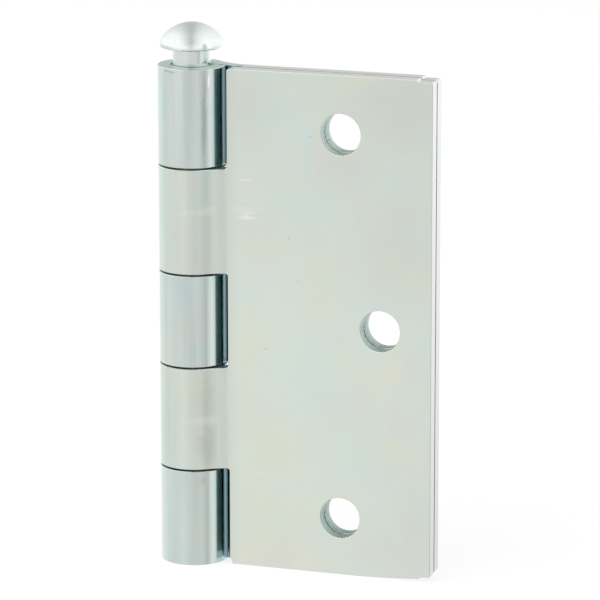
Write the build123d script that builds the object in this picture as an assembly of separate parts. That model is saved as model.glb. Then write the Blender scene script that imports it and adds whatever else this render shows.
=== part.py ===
from build123d import *
import math
import os

# Loose-pin butt hinge, folded shut and standing on its lower end.
# The pin's axis is +Z, the origin is on it at the barrel's lower end,
# and both leaves reach towards +X. Lengths are in millimetres.

hinge_height = 88.9
leaf_reach = 44.45          # pin axis to a leaf's outer edge
sheet = 2.29                # steel sheet that both leaves are pressed from
leaf_gap = 0.45             # between the two shut leaves
barrel_radius = 6.0
swage_radius = 8.5          # hollow bend that carries a leaf out to the barrel
seam_angle = 6.5            # degrees; the curl's free end stops just short of its root

knuckle_joints = [17.33, 35.9, 52.53, 71.4]     # heights where the five knuckles meet
knuckle_gap = 0.32
window_reaches = [7.54, 7.4, 7.36, 7.4, 7.27]   # pin axis to the window beside each knuckle
window_corner = 0.5
edge_roll = 0.12            # roll-over that shearing leaves round the outer face

rear_corner = 0.6           # radii of the leaves' outer corners
front_corner = 0.35
step_reach = 41.5           # past this the top edge is lower, where the strip was parted
step_depth = 0.35
foot_step_reach = 42.4      # and past this the bottom edge is higher
foot_step = 0.22
sweep_reach = 28.0          # past this the bottom edge curves slowly upwards
sweep_radius = 180.0
toe_width = 0.5             # slanting cut at the foot of the lowest window
toe_height = 1.4

hole_radius = 3.62
hole_roll = 0.14            # roll-over that the punch leaves round a hole's outer rim
hole_break = 0.1            # rounding of its inner rim, whose burr is tumbled off
hole_reaches = [27.95, 35.15, 27.95]
hole_margin = 10.3          # end holes' centres from the leaf's ends

pin_clearance = 0.08        # radial, between the pin and the knuckles
pin_point = 1.0             # taper on the pin's lower end
neck_radius = 3.36
shoulder_drop = 0.5         # the shank's full width ends this far down inside the top knuckle
shoulder_taper = 0.35       # and tapers to the neck over this height
head_lift = 3.11            # the head's flat underside above the barrel
head_radius = 5.6
head_height = 4.28
head_shoulder = 2.6         # radius of the dome's rounder outer part
head_rim = 0.2
plug_height = 4.0
plug_edge = 0.3

face = sheet + leaf_gap / 2                 # outer faces, from the hinge's middle plane
bore_radius = barrel_radius - sheet
swage_start = math.sqrt((barrel_radius + swage_radius) ** 2 - (face + swage_radius) ** 2)
root_angle = math.degrees(math.atan2(face + swage_radius, swage_start))
hole_heights = [hole_margin, hinge_height / 2, hinge_height - hole_margin]
spare = 1.0                                 # sheet past the outline, trimmed off by it
knuckle_ends = [-spare, *knuckle_joints, hinge_height + spare]


def on_circle(centre, radius, angle):
    """Point at an angle in degrees round a centre."""
    turn = math.radians(angle)
    return centre[0] + radius * math.cos(turn), centre[1] + radius * math.sin(turn)


def leaf_section():
    """The bent sheet seen from above, for the leaf whose plate lies at +Y.

    The flat plate runs into a hollow bend, which carries it out to the barrel. The curl
    then goes round the back, the far side and the front to its free end at the seam."""
    axis = (0.0, 0.0)
    swage = (swage_start, face + swage_radius)
    swage_middle = root_angle / 2 + 225.0
    curl_middle = (root_angle + seam_angle) / 2 + 180.0
    outer_root = on_circle(axis, barrel_radius, root_angle)
    inner_root = on_circle(axis, bore_radius, root_angle)
    outer_end = on_circle(axis, barrel_radius, seam_angle)
    inner_end = on_circle(axis, bore_radius, seam_angle)
    plate_end = leaf_reach + spare
    with BuildSketch() as section:
        with BuildLine():
            Line((plate_end, face), (swage_start, face))
            ThreePointArc(
                (swage_start, face), on_circle(swage, swage_radius, swage_middle), outer_root
            )
            ThreePointArc(outer_root, on_circle(axis, barrel_radius, curl_middle), outer_end)
            Line(outer_end, inner_end)
            ThreePointArc(inner_end, on_circle(axis, bore_radius, curl_middle), inner_root)
            ThreePointArc(
                inner_root,
                on_circle(swage, swage_radius + sheet, swage_middle),
                (swage_start, face - sheet),
            )
            Line((swage_start, face - sheet), (plate_end, face - sheet))
            Line((plate_end, face - sheet), (plate_end, face))
        make_face()
    return section.sketch


def sweep_rise(reach):
    """How far the bottom edge has curved upwards at a distance from the pin's axis."""
    return sweep_radius - math.sqrt(sweep_radius**2 - (reach - sweep_reach) ** 2)


def leaf_outline(windows, corner_radius):
    """Outline of a leaf seen square on; each window is its reach, lower and upper edge."""
    left = -barrel_radius - spare
    foot_start = (foot_step_reach, sweep_rise(foot_step_reach))
    with BuildSketch(Plane.XZ) as outline:
        with BuildLine():
            Line((left, 0.0), (sweep_reach, 0.0))
            TangentArc((sweep_reach, 0.0), foot_start, tangent=(1.0, 0.0))
            Polyline(
                foot_start,
                (foot_step_reach + foot_step, foot_start[1] + foot_step),
                (leaf_reach, sweep_rise(leaf_reach) + foot_step),
                (leaf_reach, hinge_height - step_depth),
                (step_reach + step_depth, hinge_height - step_depth),
                (step_reach, hinge_height),
                (left, hinge_height),
                (left, 0.0),
            )
        make_face()
        for reach, low, high in windows:
            with Locations(((left + reach) / 2, (low + high) / 2)):
                Rectangle(reach - left, high - low, mode=Mode.SUBTRACT)
            if low < 0.0:
                toe = [(reach, 0.0), (reach + toe_width, 0.0), (reach, toe_height)]
                Polygon(*toe, align=None, mode=Mode.SUBTRACT)
        fillet(corners_at(outline, [reach for reach, low, high in windows]), window_corner)
        fillet(corners_at(outline, [leaf_reach]), corner_radius)
    return outline.sketch


def corners_at(outline, reaches):
    """An outline's corners at some distances from the pin's axis."""
    return [v for v in outline.vertices() if min(abs(v.X - reach) for reach in reaches) < 0.01]


def screw_holes():
    """Punches for the three staggered holes of the leaf whose plate lies at +Y."""
    punch = Rot(90, 0, 0) * Cylinder(hole_radius, 4 * face)
    return [Pos(reach, 0, height) * punch for reach, height in zip(hole_reaches, hole_heights)]


def hole_rims(leaf, side):
    """The holes' edges on the plate's outer or inner face, given where that face lies."""
    circles = leaf.edges().filter_by(GeomType.CIRCLE)
    level = [edge for edge in circles if abs((edge @ 0.0).Y - side) < 0.001]
    return [edge for edge in level if abs(edge.radius - hole_radius) < 0.001]


def on_outer_face(point):
    """True on the face that goes against the door or its frame, and round the barrel."""
    from_axis = math.hypot(point.X, point.Y)
    from_swage = math.hypot(point.X - swage_start, point.Y - face - swage_radius)
    plate = point.X > swage_start - 0.01 and abs(point.Y - face) < 0.001
    swage = point.X < swage_start and abs(from_swage - swage_radius) < 0.001
    barrel = abs(from_axis - barrel_radius) < 0.001
    return plate or swage or barrel


def rolled_edges(leaf):
    """The sheared edges of the outer face, without the lines where its bends begin."""
    borders = [leaf_reach, *window_reaches]
    edges = []
    for edge in leaf.edges():
        upright = edge.geom_type == GeomType.LINE and abs((edge % 0.5).Z) > 0.99
        if upright and min(abs((edge @ 0.5).X - border) for border in borders) > 0.01:
            continue
        if all(on_outer_face(edge @ t) for t in (0.0, 0.25, 0.5, 0.75, 1.0)):
            edges.append(edge)
    return edges


def leaf(own_knuckles, corner_radius):
    """One pressed leaf with its plate at +Y; the knuckles are counted from the bottom.

    It has a window beside each knuckle of the other leaf."""
    windows = []
    for k, reach in enumerate(window_reaches):
        if k not in own_knuckles:
            low = knuckle_ends[k] - knuckle_gap / 2
            windows.append((reach, low, knuckle_ends[k + 1] + knuckle_gap / 2))
    bent = Pos(0, 0, -spare) * extrude(leaf_section(), hinge_height + 2 * spare)
    outline = extrude(leaf_outline(windows, corner_radius), 2 * barrel_radius, both=True)
    blank = bent & outline
    pierced = fillet(rolled_edges(blank), edge_roll) - screw_holes()
    rolled = fillet(hole_rims(pierced, face), hole_roll)
    return fillet(hole_rims(rolled, face - sheet), hole_break)


def hinge_pin():
    """Turned pin: tapered point, shank, thinner neck and a domed head that stands proud.

    The dome is a flat crown arc that runs smoothly into a rounder shoulder arc."""
    radius = bore_radius - pin_clearance
    taper_foot = hinge_height - shoulder_drop
    underside = hinge_height + head_lift
    rim = underside + head_rim
    dome = head_height - head_rim
    shoulder = (head_radius - head_shoulder, rim)
    crown_radius = (shoulder[0] ** 2 + dome**2 - head_shoulder**2) / (2 * (dome - head_shoulder))
    crown = (0.0, rim + dome - crown_radius)
    blend = math.degrees(math.atan2(rim - crown[1], shoulder[0]))
    blend_point = on_circle(shoulder, head_shoulder, blend)
    with BuildLine(Plane.XZ) as half:
        Polyline(
            (0.0, plug_height),
            (radius - pin_point, plug_height),
            (radius, plug_height + 2 * pin_point),
            (radius, taper_foot),
            (neck_radius, taper_foot + shoulder_taper),
            (neck_radius, underside),
            (head_radius - head_rim, underside),
        )
        RadiusArc((head_radius - head_rim, underside), (head_radius, rim), -head_rim)
        ThreePointArc(
            (head_radius, rim), on_circle(shoulder, head_shoulder, blend / 2), blend_point
        )
        ThreePointArc(
            blend_point, on_circle(crown, crown_radius, 45.0 + blend / 2), (0.0, rim + dome)
        )
        Line((0.0, rim + dome), (0.0, plug_height))
    return revolve(make_face(half.edges()), Axis.Z)


def bottom_plug():
    """Slug pressed into the lowest knuckle, flush with its end; the pin stands on it."""
    plug = Pos(0, 0, plug_height / 2) * Cylinder(bore_radius, plug_height)
    return chamfer(plug.edges().group_by(Axis.Z)[0], plug_edge)


def main():
    os.makedirs("parts", exist_ok=True)
    rear = leaf([0, 2, 4], rear_corner)
    front = mirror(leaf([1, 3], front_corner), Plane.XZ)
    nodes = {
        "rear_leaf": rear,
        "front_leaf": front,
        "hinge_pin": hinge_pin(),
        "bottom_plug": bottom_plug(),
    }
    for name, shape in nodes.items():
        export_step(shape, f"parts/{name}.step")


main()
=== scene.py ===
import math

import bpy
from mathutils import Matrix, Vector


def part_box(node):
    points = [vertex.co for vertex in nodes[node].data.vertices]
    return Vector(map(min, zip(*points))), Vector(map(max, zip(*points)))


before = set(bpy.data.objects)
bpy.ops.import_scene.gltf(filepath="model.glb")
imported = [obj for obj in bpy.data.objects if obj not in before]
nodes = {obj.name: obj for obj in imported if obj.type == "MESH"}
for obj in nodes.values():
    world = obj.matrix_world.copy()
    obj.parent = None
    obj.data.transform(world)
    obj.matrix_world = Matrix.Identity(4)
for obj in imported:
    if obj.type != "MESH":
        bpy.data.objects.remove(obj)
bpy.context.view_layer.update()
bpy.ops.object.select_all(action="DESELECT")
scene = bpy.context.scene
print("frame loaded:", ", ".join(sorted(nodes)))


def linearColour(hexColour):  # "#RRGGBB" as written in sRGB, turned to linear
    values = [int(hexColour[i:i + 2], 16) / 255 for i in (1, 3, 5)]
    return [v / 12.92 if v <= 0.04045 else ((v + 0.055) / 1.055) ** 2.4 for v in values] + [1.0]


def addNode(tree, kind, settings=None, links=None):
    # settings are properties or input values, links go from an input to a node's output
    node = tree.nodes.new(kind)
    for name, value in (settings or {}).items():
        if isinstance(name, str) and hasattr(node, name):
            setattr(node, name, value)
        else:
            node.inputs[name].default_value = value
    for name, source in (links or {}).items():
        tree.links.new(source, node.inputs[name])
    return node


# Camera: found from the photo's edges, knuckle joints and screw holes, as if on a long lens.
camera = {
    "place": (0.24973, -0.67346, 0.21728),  # metres
    "azimuth": 19.064,  # degrees from straight in front, towards the leaves' free edges
    "pitch": 13.634,  # degrees down
    "roll": -0.091,
    "lens": 252.06,  # mm
    "sensor": 36.0,
    "shift": (0.02492, 0.0341),
    "clip": (0.05, 20.0),  # metres
}


def makeCamera(values):
    azimuth, pitch, roll = (math.radians(values[key]) for key in ("azimuth", "pitch", "roll"))
    level = math.cos(pitch)
    forward = Vector((-math.sin(azimuth) * level, math.cos(azimuth) * level, -math.sin(pitch)))
    right = Vector((math.cos(azimuth), math.sin(azimuth), 0.0))
    up = right.cross(forward)
    rolledRight = math.cos(roll) * right + math.sin(roll) * up
    rolledUp = math.cos(roll) * up - math.sin(roll) * right
    data = bpy.data.cameras.new("camera")
    data.lens, data.sensor_width = values["lens"], values["sensor"]
    data.shift_x, data.shift_y = values["shift"]
    data.clip_start, data.clip_end = values["clip"]
    rig = bpy.data.objects.new("camera", data)
    scene.collection.objects.link(rig)
    turn = Matrix((rolledRight, rolledUp, -forward)).transposed().to_4x4()
    rig.matrix_world = Matrix.Translation(values["place"]) @ turn
    scene.camera = rig


makeCamera(camera)
print("camera set")

# Studio: a white tent, a little darker towards the camera, with a dim slit along its top
# and a dim panel high up behind the hinge.
# lowerWall gives brightness by degrees to the right of the camera, below eye level.
# upperWall gives it by sideways direction, from -1 at the camera's left to 1 at its right.
studio = {
    "lowerWall": [
        (-180, 1.2), (-140, 1.02), (-100, 0.92), (-73, 0.92), (-57, 0.93), (-42, 0.94), (-30, 0.92),
        (-18, 0.87), (-6, 0.84), (3, 0.83), (24, 0.84), (33, 0.76), (42, 0.66), (48, 0.74), (55, 0.93),
        (62, 1.05), (70, 1.0), (82, 0.85), (105, 0.95), (125, 1.25), (150, 1.32), (180, 1.15),
    ],
    "upperWall": [
        (-1.0, 1.4), (-0.6, 1.35), (-0.44, 1.2), (-0.28, 1.0), (-0.16, 0.86), (-0.08, 0.76), (0.03, 0.77),
        (0.14, 0.95), (0.3, 1.15), (0.56, 1.3), (1.0, 1.35),
    ],
    "wallJoin": (-0.14, 0.12),  # sine of the heights between which the walls blend
    "wallScale": 2.0,  # a ramp's colours end at 1, so it holds the walls' light divided by this
    "backPanel": 0.88,  # how much light the dim panel behind the hinge leaves
    "backPanelTowards": (-0.23, 0.67, 0.71),  # direction of its middle
    "backPanelBlend": (0.6, 0.97),  # cosine of the angles at which it starts and is full
    "fill": 0.75,  # the tent's light on dull surfaces
    "floorSize": 8.0,
    "floorColour": "#F4F4F4",
    "floorShare": 0.75,  # share of the floor's white that no shadow dims
    "floorGlow": 1.07,  # and how strongly that share glows
    "softbox": {"place": (-0.4, -0.5, 0.8), "aim": (0.02, 0.0, 0.04), "size": 1.0, "watts": 4.5},
}


def fillRamp(ramp, stops):  # places and colours, from 0 to 1
    while len(ramp.elements) < len(stops):
        ramp.elements.new(0.5)
    for element, (position, colour) in zip(ramp.elements, stops):
        element.position = position
        element.color = colour


def makeWall(tree, across, wall, reach, scale):  # the wall's places run from -reach to reach
    node = addNode(tree, "ShaderNodeValToRGB", None, {"Fac": across})
    stops = []
    for place, light in wall:
        grey = light / scale
        stops.append(((place + reach) / (2 * reach), (grey, grey, grey, 1.0)))
    fillRamp(node.color_ramp, stops)
    return node.outputs["Color"]


def turnFromCamera(tree, parts, azimuth):  # 0 to 1 once round, with the camera's side in the middle
    behind = addNode(tree, "ShaderNodeMath", {"operation": "MULTIPLY", 1: -1.0}, {0: parts[1]})
    angle = addNode(
        tree, "ShaderNodeMath", {"operation": "ARCTAN2"}, {0: parts[0], 1: behind.outputs[0]}
    )
    fromCamera = addNode(
        tree, "ShaderNodeMath", {"operation": "SUBTRACT", 1: math.radians(azimuth)}, {0: angle.outputs[0]}
    )
    wrapped = addNode(
        tree, "ShaderNodeMath", {"operation": "WRAP", 1: math.pi, 2: -math.pi}, {0: fromCamera.outputs[0]}
    )
    turn = addNode(
        tree, "ShaderNodeMapRange", {"From Min": -math.pi, "From Max": math.pi}, {"Value": wrapped.outputs[0]}
    )
    return turn.outputs[0]


def sidewaysFromCamera(tree, ray, azimuth):  # 0 at its left to 1 at its right
    right = (math.cos(math.radians(azimuth)), math.sin(math.radians(azimuth)), 0.0)
    sideways = addNode(tree, "ShaderNodeVectorMath", {"operation": "DOT_PRODUCT", 1: right}, {0: ray})
    across = addNode(
        tree, "ShaderNodeMapRange", {"From Min": -1.0}, {"Value": sideways.outputs["Value"]}
    )
    return across.outputs[0]


def makeWorld(values, azimuth):
    world = bpy.data.worlds.new("tent")
    scene.world = world
    world.use_nodes = True
    world.cycles.sampling_method = "NONE"
    tree = world.node_tree
    tree.nodes.clear()
    ray = addNode(tree, "ShaderNodeTexCoord").outputs["Generated"]
    parts = addNode(tree, "ShaderNodeSeparateXYZ", None, {0: ray}).outputs
    turn = turnFromCamera(tree, parts, azimuth)
    across = sidewaysFromCamera(tree, ray, azimuth)
    low, high = values["wallJoin"]
    rise = addNode(
        tree, "ShaderNodeMapRange", {"From Min": low, "From Max": high}, {"Value": parts[2]}
    ).outputs[0]
    walls = addNode(tree, "ShaderNodeMix", {"data_type": "RGBA"}, {
        "Factor": rise,
        6: makeWall(tree, turn, values["lowerWall"], 180, values["wallScale"]),
        7: makeWall(tree, across, values["upperWall"], 1, values["wallScale"]),
    }).outputs[2]
    towards = addNode(
        tree, "ShaderNodeVectorMath", {"operation": "DOT_PRODUCT", 1: values["backPanelTowards"]}, {0: ray}
    ).outputs["Value"]
    outside, inside = values["backPanelBlend"]
    shade = addNode(tree, "ShaderNodeMapRange", {
        "From Min": outside, "From Max": inside, "To Min": 1.0, "To Max": values["backPanel"],
    }, {"Value": towards}).outputs[0]
    shaded = addNode(
        tree, "ShaderNodeVectorMath", {"operation": "SCALE"}, {0: walls, "Scale": shade}
    ).outputs[0]
    path = addNode(tree, "ShaderNodeLightPath").outputs
    tent = addNode(
        tree, "ShaderNodeBackground", {"Strength": values["wallScale"]}, {"Color": shaded}
    ).outputs[0]
    plain = addNode(
        tree, "ShaderNodeBackground", {"Color": (1, 1, 1, 1), "Strength": values["fill"]}
    ).outputs[0]
    white = addNode(tree, "ShaderNodeBackground", {"Color": (1, 1, 1, 1), "Strength": 1.0}).outputs[0]
    lit = addNode(tree, "ShaderNodeMixShader", None, {0: path["Is Glossy Ray"], 1: plain, 2: tent}).outputs[0]
    seen = addNode(tree, "ShaderNodeMixShader", None, {0: path["Is Camera Ray"], 1: lit, 2: white}).outputs[0]
    addNode(tree, "ShaderNodeOutputWorld", None, {"Surface": seen})


def makeFloor(values):
    bpy.ops.mesh.primitive_plane_add(size=values["floorSize"], location=(0, 0, 0))
    floor = bpy.context.object
    floor.name = "floor"
    floor.visible_glossy = False  # the metal shows the tent's walls right down to its foot
    paper = bpy.data.materials.new("whitePaper")
    paper.use_nodes = True
    tree = paper.node_tree
    tree.nodes.clear()
    seen = addNode(tree, "ShaderNodeLightPath").outputs["Is Camera Ray"]
    share = addNode(
        tree, "ShaderNodeMath", {"operation": "MULTIPLY", 1: values["floorShare"]}, {0: seen}
    ).outputs[0]
    dull = addNode(tree, "ShaderNodeBsdfDiffuse", {"Color": linearColour(values["floorColour"])}).outputs[0]
    glow = addNode(
        tree, "ShaderNodeEmission", {"Color": (1, 1, 1, 1), "Strength": values["floorGlow"]}
    ).outputs[0]
    both = addNode(tree, "ShaderNodeMixShader", None, {0: share, 1: dull, 2: glow}).outputs[0]
    addNode(tree, "ShaderNodeOutputMaterial", None, {"Surface": both})
    floor.data.materials.append(paper)


def makeSoftbox(box):
    lamp = bpy.data.lights.new("softbox", "AREA")
    lamp.shape, lamp.size, lamp.energy = "SQUARE", box["size"], box["watts"]
    rig = bpy.data.objects.new("softbox", lamp)
    scene.collection.objects.link(rig)
    rig.location = box["place"]
    rig.visible_glossy = False  # the tent alone is mirrored
    aim = Vector(box["aim"]) - Vector(box["place"])
    rig.rotation_euler = aim.to_track_quat("-Z", "Y").to_euler()


makeWorld(studio, camera["azimuth"])
makeFloor(studio)
makeSoftbox(studio["softbox"])
print("studio set")

# Marks on the front side, from handling and the press tools, with painted highlights and shade among them.
# Each has the x and z of its middle, its half length and half width (mm), its turn (degrees)
# and its strength.
scuffs = [  # dull and pale, where something has rubbed
    (5.5, 64.0, 9.5, 1.0, -3.4, 0.42), (10.6, 69.5, 1.8, 0.4, 0.0, 0.5), (3.2, 26.4, 4.5, 1.0, 0.0, 0.35),
    (12.8, 17.1, 2.8, 0.2, 4.0, 0.3), (-4.0, 57.0, 0.5, 5.0, 0.0, 0.25),
    (10.8, 62.9, 2.6, 0.55, 0.0, 0.9), (10.6, 63.8, 2.6, 0.6, 0.0, 0.5),
]
rubs = [  # greyer
    (3.85, 80.0, 0.45, 9.0, 0.6, 0.65), (-2.9, 88.45, 0.4, 0.3, 0.0, 1.0), (-1.9, 88.3, 1.4, 0.18, 4.0, 0.9),
    (5.1, 22.1, 3.8, 4.4, 0.0, 0.32), (14.3, 39.7, 0.4, 0.2, 0.0, 0.5), (22.6, 77.9, 0.6, 0.2, 0.0, 0.3),
    (18.6, 59.8, 0.25, 0.25, 0.0, 0.4), (5.1, 30.0, 3.8, 4.5, 0.0, 0.14), (20.3, 52.3, 0.25, 0.2, 0.0, 0.4),
    (3.4, 15.5, 0.5, 1.2, 0.0, 0.3),
]
paintedGlints = [  # painted highlights: bright lines down the curl, along where a tool burnished it
    (4.5, 86.9, 0.16, 1.7, 3.0, 0.9), (4.2, 83.2, 0.11, 2.0, 3.0, 0.4),
]
stains = [  # yellowish
    (14.8, 21.0, 6.0, 6.5, 0.0, 0.4), (14.0, 7.5, 11.0, 11.0, 0.0, 0.35), (10.3, 37.0, 4.5, 14.0, 0.0, 0.3),
    (12.5, 58.5, 5.0, 5.0, 0.0, 0.25), (23.5, 53.0, 5.5, 7.0, 0.0, 0.25), (32.0, 6.0, 9.0, 6.0, 0.0, 0.2),
    (2.0, 29.0, 3.0, 5.0, 0.0, 0.25), (1.0, 55.0, 4.0, 4.0, 0.0, 0.2),
]
blooms = [  # bluish green
    (20.0, 66.0, 8.0, 8.0, 0.0, 0.4), (22.0, 35.5, 7.5, 7.5, 0.0, 0.4), (30.0, 24.0, 8.0, 7.0, 0.0, 0.3),
    (-4.4, 62.0, 3.0, 11.0, 0.0, 0.8), (-4.4, 25.0, 3.0, 11.0, 0.0, 0.8), (-3.9, 47.5, 2.2, 6.5, 0.0, 0.6),
    (-3.4, 8.5, 2.2, 10.0, 0.0, 0.6), (-4.2, 80.0, 2.2, 9.0, 0.0, 0.5),
]
flushes = [  # pinkish grey
    (10.5, 82.5, 6.0, 9.0, 0.0, 0.45), (39.5, 84.0, 9.0, 7.0, 0.0, 0.5), (29.0, 72.5, 6.0, 4.0, 0.0, 0.35),
    (38.0, 59.0, 8.0, 10.0, 0.0, 0.45), (42.0, 9.5, 4.5, 9.0, 0.0, 0.45),
]
headSpecksAndShade = [  # small darker, duller specks on the pin's head
    (0.7, 95.6, 0.7, 0.2, 0.0, 0.9), (1.5, 94.65, 0.8, 0.18, 0.0, 0.5), (2.0, 93.6, 0.7, 0.18, 0.0, 0.5),
    (-1.25, 94.05, 0.28, 0.7, 0.0, 0.8), (3.85, 92.75, 0.4, 0.75, 0.0, 0.7),
    # painted shade along the head's lower left rim
    (-3.2, 92.4, 2.2, 0.45, 0.0, 0.3),
]
paintedHeadHighlights = [  # painted highlights: a bright streak and spots on the pin's head, beside the specks
    (4.05, 93.4, 1.7, 0.26, 57.0, 0.9), (-0.6, 93.9, 0.25, 0.7, 0.0, 0.9), (1.7, 92.7, 1.9, 0.75, 0.0, 0.5),
]
markShape = {
    "middleY": -4.0,  # mm: with the half depth, this keeps the marks on the front
    "halfDepth": 5.0,
    "outline": 1.1,  # how far out a mark ends, in its half sizes
    "fray": 0.8,  # how much of that a noise can take off
}

# each list with its colour, its roughness where it has its own, and how soft its outlines are
leafMarks = [
    (blooms, "#CFE4DC", None, 0.9), (flushes, "#D6D6D0", None, 0.9), (stains, "#E2DEC2", None, 0.9),
    (rubs, "#AEB8AE", 0.3, 0.35), (scuffs, "#EAEEE7", 0.3, 0.35), (paintedGlints, "#FAFCFA", 0.2, 0.35),
]
pinMarks = [(headSpecksAndShade, "#A3ADAA", 0.25, 0.35), (paintedHeadHighlights, "#FFFFFF", 0.15, 0.35)]

# Bright zinc plating over pressed sheet: a pale mirror, clouded by its passivate in soft warm and
# cool patches, with faint upright draw marks where the knuckles were curled, and duller and
# greyer where the sheet was sheared. Painted shade darkens it towards the plate's top and outer
# edge, round the front barrel and at the cut edges' foot, and turns it darker and bluish on the
# window edges beside the knuckles and inside the screw holes; painted light brightens the cut
# edges' tops and the holes' rims.
frontSheet = {
    "marks": leafMarks,
    "colour": "#DCE4DB", "cool": "#D8E5E0", "warm": "#E1E4D6", "pink": "#DCDDD8",
    "cutColour": "#D4D6D3", "edgeColour": "#A9B0AC", "knuckleEndColour": "#C6D2CD",
    # The rims' colour is a painted highlight on the screw holes' rolled rims. The holes' colour is greyer as
    # sheared metal, and darker and bluish as painted shade inside the holes.
    "rimColour": "#EEF2EE", "holeColour": "#A0B4AD", "tornColour": "#6F7F7A",
    # The window edges' colour is painted shade: darker and bluish where they face the knuckles in the narrow
    # slot.
    "shadedWindowColour": "#B4D2CB", "rootColour": "#DCE4DB",
    "roughness": 0.17, "cutRoughness": 0.42, "innerRoughness": 0.4, "lipRoughness": 0.9,
    "roughnessSpread": 0.03,  # how far the haze takes the roughness up and down
    "cloudOffset": (0.0, 0.0, 0.0),  # mm, which gives each sheet and the pin clouds of their own
    "cloudScale": 0.15,  # per mm: patches about 7 mm across
    "hazeShare": 0.6,  # of the clouds' scale: the pinkish and the rougher patches are larger
    "frayScale": 0.6,  # per mm, for the frayed outlines of the marks
    "waveScale": 0.12,  # per mm: slow waves, 8 mm long, that the press leaves in the sheet
    "waveHeight": 0.03,  # mm
    "drawScale": (0.5, 0.5, 0.02),  # per mm: marks 2 mm apart, coarser than real so that they show
    "drawHeight": 0.004,  # mm
    "drawTone": 0.05,  # how much darker the draw marks are
    "drawShine": 0.01,  # and how much brighter the metal between them
    "grainScale": 2.2,  # per mm: grain of 0.45 mm, because the plating's own is too fine to show
    "grainHeight": 0.0008,  # mm
    "tearScale": 3.0,  # per mm: tears 0.3 mm across in the band that the punch broke out
    "paintedShadeAtTop": 0.935,  # painted shade: brightness at the top of the plate
    "paintedShadeOutward": 0.965,  # painted shade, at its outer edge
    "paintedShadeOnBarrel": 0.955,  # painted shade, round the barrel
    "paintedLightOnCuts": (0.86, 1.09),  # painted shade and light on cut edges, at the foot and at the top
}
# On the rear sheet the root colour is painted shade: the hollow bend darker and bluish where it shows in the
# slot beside the barrel.
rearSheet = dict(
    frontSheet, colour="#D4DEDA", cool="#CDDEDC", warm="#D8DED5", pink="#D5DAD9", rootColour="#BCCED3",
    roughness=0.14, cloudOffset=(31.0, 7.0, 52.0), drawTone=0.1,
    paintedShadeAtTop=1.0, paintedShadeOutward=1.0, paintedShadeOnBarrel=1.0,
)
# Bright zinc over turned steel: plated the same way, but with finer clouds, faint rings round it
# and no duller edges, because nothing on it was sheared.
turnedZinc = dict(
    frontSheet, marks=pinMarks, cool="#D2DEDC", warm="#DDE0DB", pink="#D9DDDA",
    cloudOffset=(3.0, 60.0, 11.0), cloudScale=0.35, drawHeight=0.001, drawTone=0.02,
    drawScale=(0.06, 0.06, 2.2),  # per mm: rings 0.45 mm apart, coarser than real so that they show
    paintedShadeAtTop=1.0, paintedShadeOutward=1.0, paintedShadeOnBarrel=1.0, paintedLightOnCuts=(1.0, 1.0),
)
turnedZinc.update({key: "#D8E0DC" for key in frontSheet if key.lower().endswith("colour")})
turnedZinc.update({key: 0.15 for key in frontSheet if key.lower().endswith("roughness")})
plugZinc = dict(turnedZinc, marks=[])

# Where a leaf's sheet was bent and cut. Places are in mm, x from the pin's axis, y from the
# hinge's middle plane and z from its foot. A pair gives where a look sets in and where it is full.
reachEnd, hingeTop = (1000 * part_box("front_leaf")[1][axis] for axis in (0, 2))
sheetPlaces = {
    "plateStart": 7.2,  # x
    "windowEnd": 8.4,  # x: a cut side nearer than this is a window's
    "outerEdge": reachEnd - 0.45,  # x: and one past this is the leaf's outer edge
    "rootStart": (4.9, 5.7),  # x: the hollow bend starts at the barrel
    "rootEnd": (10.5, 7.5),  # x: and ends at the plate
    "innerFace": 0.24,  # y
    "tornBand": (1.35, 0.95),  # y, inside the screw holes
    "lip": (hingeTop - 1.0, hingeTop - 0.6),  # z, the inner faces' upper ends
    "holesMiddle": (25.0, 0.0, hingeTop / 2),  # the screw holes lie in a box round this point
    "holesWithin": (15.0, hingeTop / 2 - 1.45),  # that reaches this far in x and z
    "headEnd": (42.0, 86.0),  # z, for the painted shade towards the plate's top
    "outward": (20.0, 44.0),  # x, for the painted shade towards its outer edge
    "footToTop": (5.0, 85.0),  # z, for the painted shade and light along the cut edges
}
# How a face stands, as cosines: facing is 1 along the sheet, and upright is 1 on an end face.
sheetTurns = {
    "turned": (0.94, 0.6),  # facing, of anything turned away from the sheet
    "wall": (0.5, 0.2),  # facing, nearly square to it
    "slant": (0.2, 0.4),  # facing, of a cut side's rolled edge
    "end": (0.35, 0.8),  # upright
}
# Levels of the noises, which lie about 0.5
noiseLevels = {
    "tint": ((0.32, "cool"), (0.47, "colour"), (0.55, "colour"), (0.7, "warm")),
    "pinkish": (0.5, 0.85),
    "rougher": (0.3, 0.7),
    "streaks": (0.33, 0.6),
    "specks": (0.46, 0.62),
}


def markMask(tree, place, ragged, blur, marks):  # ragged is a noise that frays the marks' outlines
    outline = markShape["outline"]
    total = None
    for x, z, halfLength, halfWidth, turn, strength in marks:
        local = addNode(tree, "ShaderNodeMapping", {
            "vector_type": "TEXTURE", "Location": (x, markShape["middleY"], z),
            "Rotation": (0, math.radians(turn), 0),
            "Scale": (halfLength, markShape["halfDepth"], halfWidth),
        }, {"Vector": place}).outputs[0]
        away = addNode(tree, "ShaderNodeVectorMath", {"operation": "LENGTH"}, {0: local}).outputs["Value"]
        frayed = addNode(
            tree, "ShaderNodeMath", {"operation": "MULTIPLY_ADD", 1: markShape["fray"]}, {0: ragged, 2: away}
        ).outputs[0]
        mask = addNode(tree, "ShaderNodeMapRange", {
            "interpolation_type": "SMOOTHSTEP", "From Min": outline + blur, "From Max": outline - blur,
            "To Max": strength,
        }, {"Value": frayed}).outputs[0]
        if total:
            mask = addNode(tree, "ShaderNodeMath", {"operation": "MAXIMUM"}, {0: total, 1: mask}).outputs[0]
        total = mask
    return total


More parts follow.
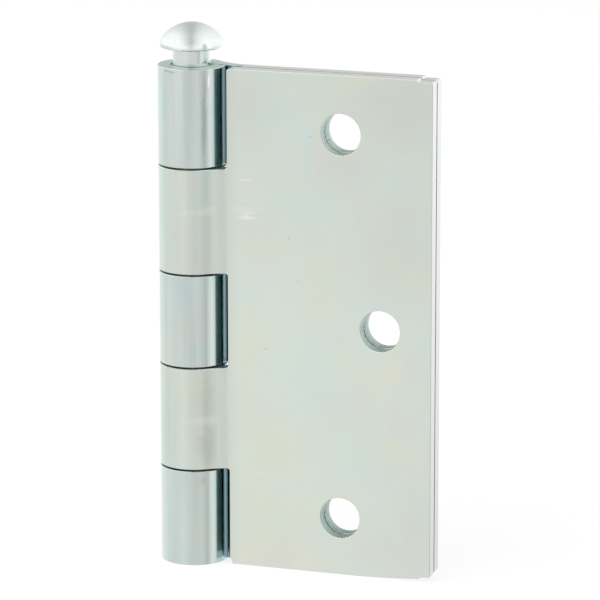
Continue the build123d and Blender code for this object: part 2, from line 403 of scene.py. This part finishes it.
def sheetMasks(tree, place, parts, normal, tears):  # each is 1 on the places that it is named for
    x, y, z = parts
    direction = addNode(tree, "ShaderNodeSeparateXYZ", None, {0: normal}).outputs
    fromHoles = addNode(
        tree, "ShaderNodeVectorMath", {"operation": "SUBTRACT", 1: sheetPlaces["holesMiddle"]}, {0: place}
    ).outputs[0]
    aside = addNode(tree, "ShaderNodeSeparateXYZ", None, {0: fromHoles}).outputs
    facing, upright, offMiddle, asideX, asideZ = (
        addNode(tree, "ShaderNodeMath", {"operation": "ABSOLUTE"}, {0: source}).outputs[0]
        for source in (direction[1], direction[2], y, aside[0], aside[2])
    )
    mask = {}
    for name, source, operation, limit in (
        ("onPlate", x, "GREATER_THAN", sheetPlaces["plateStart"]),
        ("offPlate", x, "LESS_THAN", sheetPlaces["plateStart"]),
        ("nearBarrel", x, "LESS_THAN", sheetPlaces["windowEnd"]),
        ("outermost", x, "GREATER_THAN", sheetPlaces["outerEdge"]),
        ("inner", offMiddle, "LESS_THAN", sheetPlaces["innerFace"]),
        ("withinX", asideX, "LESS_THAN", sheetPlaces["holesWithin"][0]),
        ("withinZ", asideZ, "LESS_THAN", sheetPlaces["holesWithin"][1]),
    ):
        node = addNode(tree, "ShaderNodeMath", {"operation": operation, 1: limit}, {0: source})
        mask[name] = node.outputs[0]
    for name, source, (start, full) in (
        ("turned", facing, sheetTurns["turned"]),
        ("wall", facing, sheetTurns["wall"]),
        ("slant", facing, sheetTurns["slant"]),
        ("end", upright, sheetTurns["end"]),
        ("topmost", z, sheetPlaces["lip"]),
        ("pastCurl", x, sheetPlaces["rootStart"]),
        ("beforePlate", x, sheetPlaces["rootEnd"]),
        ("tornBand", offMiddle, sheetPlaces["tornBand"]),
        ("specks", tears, noiseLevels["specks"]),
    ):
        node = addNode(tree, "ShaderNodeMapRange", {"From Min": start, "From Max": full}, {"Value": source})
        mask[name] = node.outputs[0]
    for name, first, second, operation in (
        ("side", "turned", "onPlate", "MULTIPLY"),
        ("cut", "side", "end", "MAXIMUM"),
        ("shadedWindow", "side", "nearBarrel", "MULTIPLY"),
        ("slantedSide", "side", "slant", "MULTIPLY"),
        ("edge", "slantedSide", "outermost", "MULTIPLY"),
        ("knuckleEnd", "end", "offPlate", "MULTIPLY"),
        ("root", "pastCurl", "beforePlate", "MULTIPLY"),
        ("lip", "inner", "topmost", "MULTIPLY"),
        ("within", "withinX", "withinZ", "MULTIPLY"),
        ("rim", "turned", "within", "MULTIPLY"),
        ("hole", "wall", "within", "MULTIPLY"),
        ("tears", "tornBand", "specks", "MULTIPLY"),
        ("torn", "tears", "hole", "MULTIPLY"),
    ):
        node = addNode(tree, "ShaderNodeMath", {"operation": operation}, {0: mask[first], 1: mask[second]})
        mask[name] = node.outputs[0]
    return mask


def zincNoises(tree, place, values):
    moved = addNode(
        tree, "ShaderNodeVectorMath", {"operation": "ADD", 1: values["cloudOffset"]}, {0: place}
    ).outputs[0]
    drawn = addNode(
        tree, "ShaderNodeVectorMath", {"operation": "MULTIPLY", 1: values["drawScale"]}, {0: moved}
    ).outputs[0]
    noise = {}
    for name, vector, scale, detail in (
        ("clouds", moved, values["cloudScale"], 4.0),
        ("haze", moved, values["hazeShare"] * values["cloudScale"], 3.0),
        ("frays", moved, values["frayScale"], 3.0),
        ("waves", moved, values["waveScale"], 1.0),
        ("draws", drawn, 1.0, 3.0),
        ("grain", moved, values["grainScale"], 2.0),
        ("tears", moved, values["tearScale"], 3.0),
    ):
        node = addNode(tree, "ShaderNodeTexNoise", {"Scale": scale, "Detail": detail}, {0: vector})
        noise[name] = node.outputs[0]
    return noise


def paintedShadeAndStreaks(tree, mask, noise, parts, values):  # painted shade and light over the piece, and the draw marks' streaks
    x, z = parts[0], parts[2]
    darker = values["paintedShadeOnBarrel"] - values["drawTone"]
    brighter = values["paintedShadeOnBarrel"] + values["drawShine"]
    level = {}
    for name, source, (start, end), startFade, endFade in (
        ("up", z, sheetPlaces["headEnd"], 1.0, values["paintedShadeAtTop"]),
        ("outward", x, sheetPlaces["outward"], 1.0, values["paintedShadeOutward"]),
        ("streaks", noise["draws"], noiseLevels["streaks"], darker, brighter),
        ("cut", z, sheetPlaces["footToTop"], *values["paintedLightOnCuts"]),
    ):
        node = addNode(tree, "ShaderNodeMapRange", {
            "From Min": start, "From Max": end, "To Min": startFade, "To Max": endFade,
        }, {"Value": source})
        level[name] = node.outputs[0]
    plate = addNode(
        tree, "ShaderNodeMath", {"operation": "MULTIPLY"}, {0: level["up"], 1: level["outward"]}
    ).outputs[0]
    whole = addNode(
        tree, "ShaderNodeMix", None, {"Factor": mask["onPlate"], 2: level["streaks"], 3: plate}
    ).outputs[0]
    return addNode(tree, "ShaderNodeMix", None, {"Factor": mask["cut"], 2: whole, 3: level["cut"]}).outputs[0]


def zincBump(tree, noise, values):  # heights are given in mm, and the bump takes metres
    height = addNode(
        tree, "ShaderNodeMath", {"operation": "MULTIPLY", 1: values["waveHeight"] / 1000}, {0: noise["waves"]}
    ).outputs[0]
    for name, key in (("draws", "drawHeight"), ("grain", "grainHeight")):
        height = addNode(
            tree, "ShaderNodeMath", {"operation": "MULTIPLY_ADD", 1: values[key] / 1000},
            {0: noise[name], 2: height},
        ).outputs[0]
    return addNode(tree, "ShaderNodeBump", {"Distance": 1.0}, {"Height": height}).outputs[0]


def makeZinc(name, values):
    material = bpy.data.materials.new(name)
    material.use_nodes = True
    tree = material.node_tree
    tree.nodes.clear()
    coords = addNode(tree, "ShaderNodeTexCoord").outputs
    place = addNode(  # in mm
        tree, "ShaderNodeMapping", {"Scale": (1000, 1000, 1000)}, {"Vector": coords["Object"]}
    ).outputs[0]
    parts = addNode(tree, "ShaderNodeSeparateXYZ", None, {0: place}).outputs
    noise = zincNoises(tree, place, values)
    mask = sheetMasks(tree, place, parts, coords["Normal"], noise["tears"])

    tint = addNode(tree, "ShaderNodeValToRGB", None, {0: noise["clouds"]})
    fillRamp(tint.color_ramp, [(level, linearColour(values[key])) for level, key in noiseLevels["tint"]])
    start, full = noiseLevels["pinkish"]
    pink = addNode(
        tree, "ShaderNodeMapRange", {"From Min": start, "From Max": full}, {"Value": noise["haze"]}
    ).outputs[0]
    start, full = noiseLevels["rougher"]
    rough = addNode(tree, "ShaderNodeMapRange", {
        "From Min": start, "To Min": values["roughness"] - values["roughnessSpread"],
        "From Max": full, "To Max": values["roughness"] + values["roughnessSpread"],
    }, {"Value": noise["haze"]}).outputs[0]

    # each look lies over the ones before it
    colourLayers = [(pink, values["pink"])]
    roughLayers = []
    for marks, hexColour, roughness, blur in values["marks"]:
        marked = markMask(tree, place, noise["frays"], blur, marks)
        colourLayers.append((marked, hexColour))
        if roughness:
            roughLayers.append((marked, roughness))
    # Of these, the rim's colour is a painted highlight, and the hole's, window's and rear sheet's root
    # colours carry painted shade.
    for key in ("cut", "edge", "root", "knuckleEnd", "rim", "hole", "torn", "shadedWindow"):
        colourLayers.append((mask[key], values[key + "Colour"]))
    for key in ("cut", "inner", "lip"):
        roughLayers.append((mask[key], values[key + "Roughness"]))
    colour = tint.outputs[0]
    for layer, hexColour in colourLayers:
        colour = addNode(
            tree, "ShaderNodeMix", {"data_type": "RGBA", 7: linearColour(hexColour)},
            {"Factor": layer, 6: colour},
        ).outputs[2]
    for layer, roughness in roughLayers:
        rough = addNode(tree, "ShaderNodeMix", {3: roughness}, {"Factor": layer, 2: rough}).outputs[0]
    withPaintedShade = addNode(
        tree, "ShaderNodeVectorMath", {"operation": "SCALE"},
        {0: colour, "Scale": paintedShadeAndStreaks(tree, mask, noise, parts, values)},
    ).outputs[0]
    metal = addNode(
        tree, "ShaderNodeBsdfPrincipled", {"Metallic": 1.0},
        {"Base Color": withPaintedShade, "Roughness": rough, "Normal": zincBump(tree, noise, values)},
    )
    addNode(tree, "ShaderNodeOutputMaterial", None, {"Surface": metal.outputs[0]})
    return material


def coat(node, material):
    piece = nodes[node]
    piece.data.materials.clear()
    piece.data.materials.append(material)


coat("front_leaf", makeZinc("brightZincFrontSheet", frontSheet))
coat("rear_leaf", makeZinc("brightZincRearSheet", rearSheet))
coat("hinge_pin", makeZinc("brightZincTurned", turnedZinc))
coat("bottom_plug", makeZinc("brightZincPlug", plugZinc))
print("materials set")

scene.view_settings.view_transform = "Standard"
